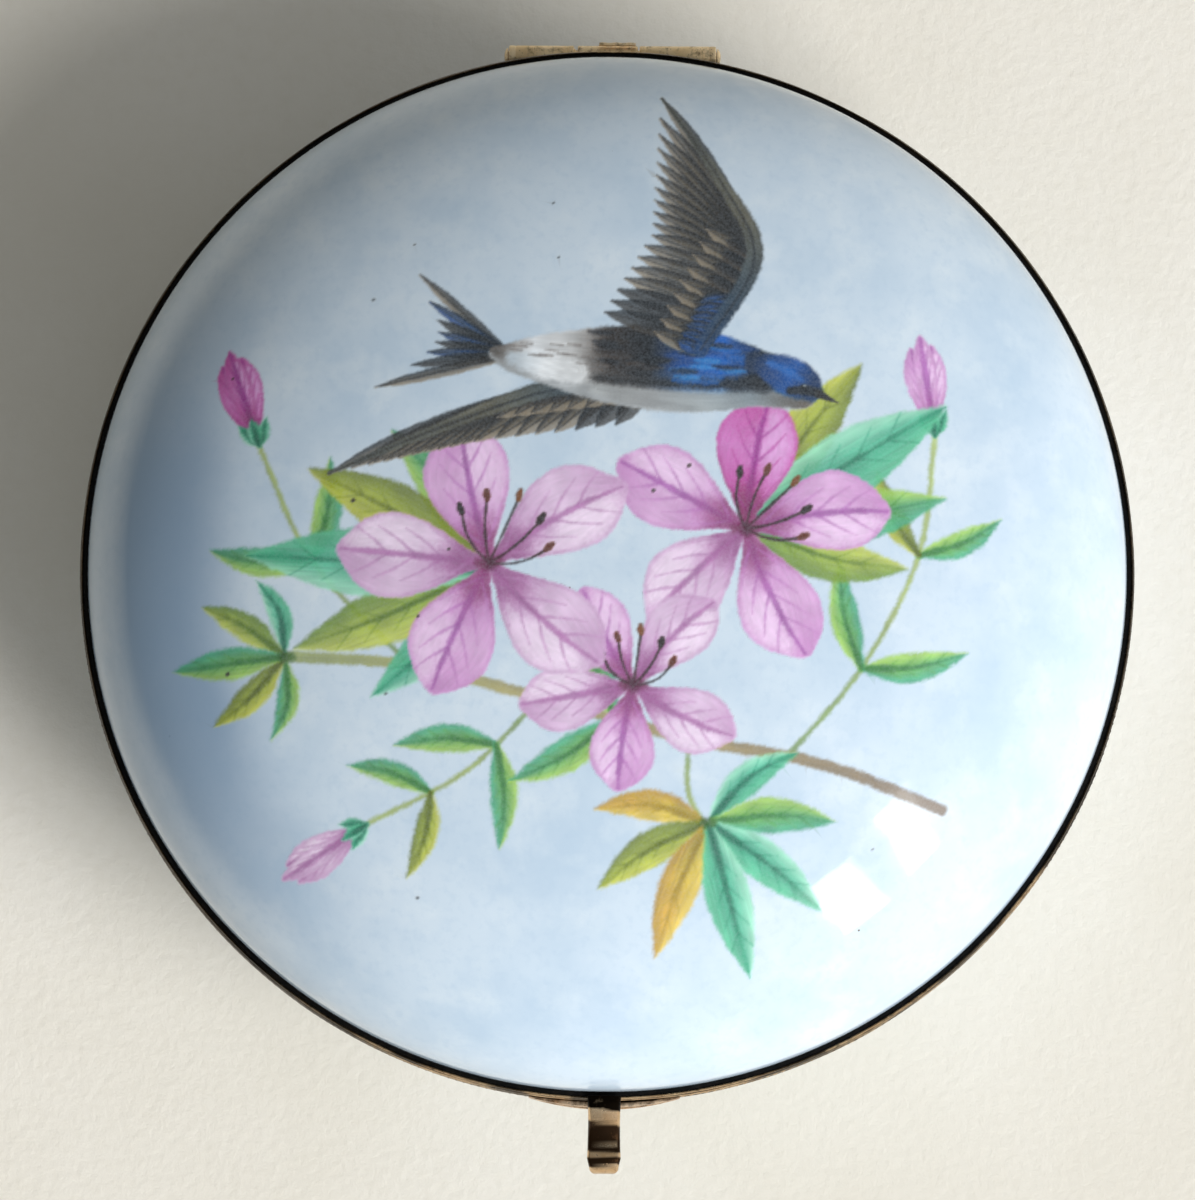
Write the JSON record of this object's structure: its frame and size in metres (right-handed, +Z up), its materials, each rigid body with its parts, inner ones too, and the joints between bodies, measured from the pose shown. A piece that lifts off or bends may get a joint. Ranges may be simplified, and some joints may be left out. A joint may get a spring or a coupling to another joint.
{
  "type": "round porcelain pill box",
  "caption": "Round pill box: a hinged, domed porcelain lid with a painted swallow and pink flowers over a porcelain bowl, in brass mounts with a thumb-piece.",
  "frame": {"origin": "centre of the flat underside, on the axis of the round box, where it stands on a table", "axes": "+Z up through the lid, +Y towards the hinge at the back, -Y towards the thumb-piece at the front, +X to the right seen from above with the hinge at the top"},
  "size_m": [0.0666, 0.0713, 0.0306],
  "materials": {
    "lid_glaze": "pale blue gloss glaze, overglaze painted",
    "base_glaze": "pale blue gloss glaze",
    "cement": "blackened cement line",
    "brass": "aged, lightly tarnished brass"
  },
  "bodies": {
    "base": {"base_bowl": "base_glaze", "base_cement": "cement", "base_bezel": "brass", "base_collar": "brass", "base_hinge_plate": "brass", "base_knuckle_left": "brass", "base_knuckle_right": "brass", "hinge_pin": "brass", "base_clasp_plate": "brass"},
    "lid": {"lid_dome": "lid_glaze", "lid_cement": "cement", "lid_bezel": "brass", "lid_hinge_plate": "brass", "lid_knuckle": "brass", "lid_clasp_plate": "brass", "thumb_piece": "brass"}
  },
  "joints": [
    {"name": "lid_hinge", "type": "hinge", "parent": "base", "child": "lid", "pos_m": [0, 0.03295, 0.0155], "axis": [-1, 0, 0], "range_deg": [0, 100]}
  ]
}
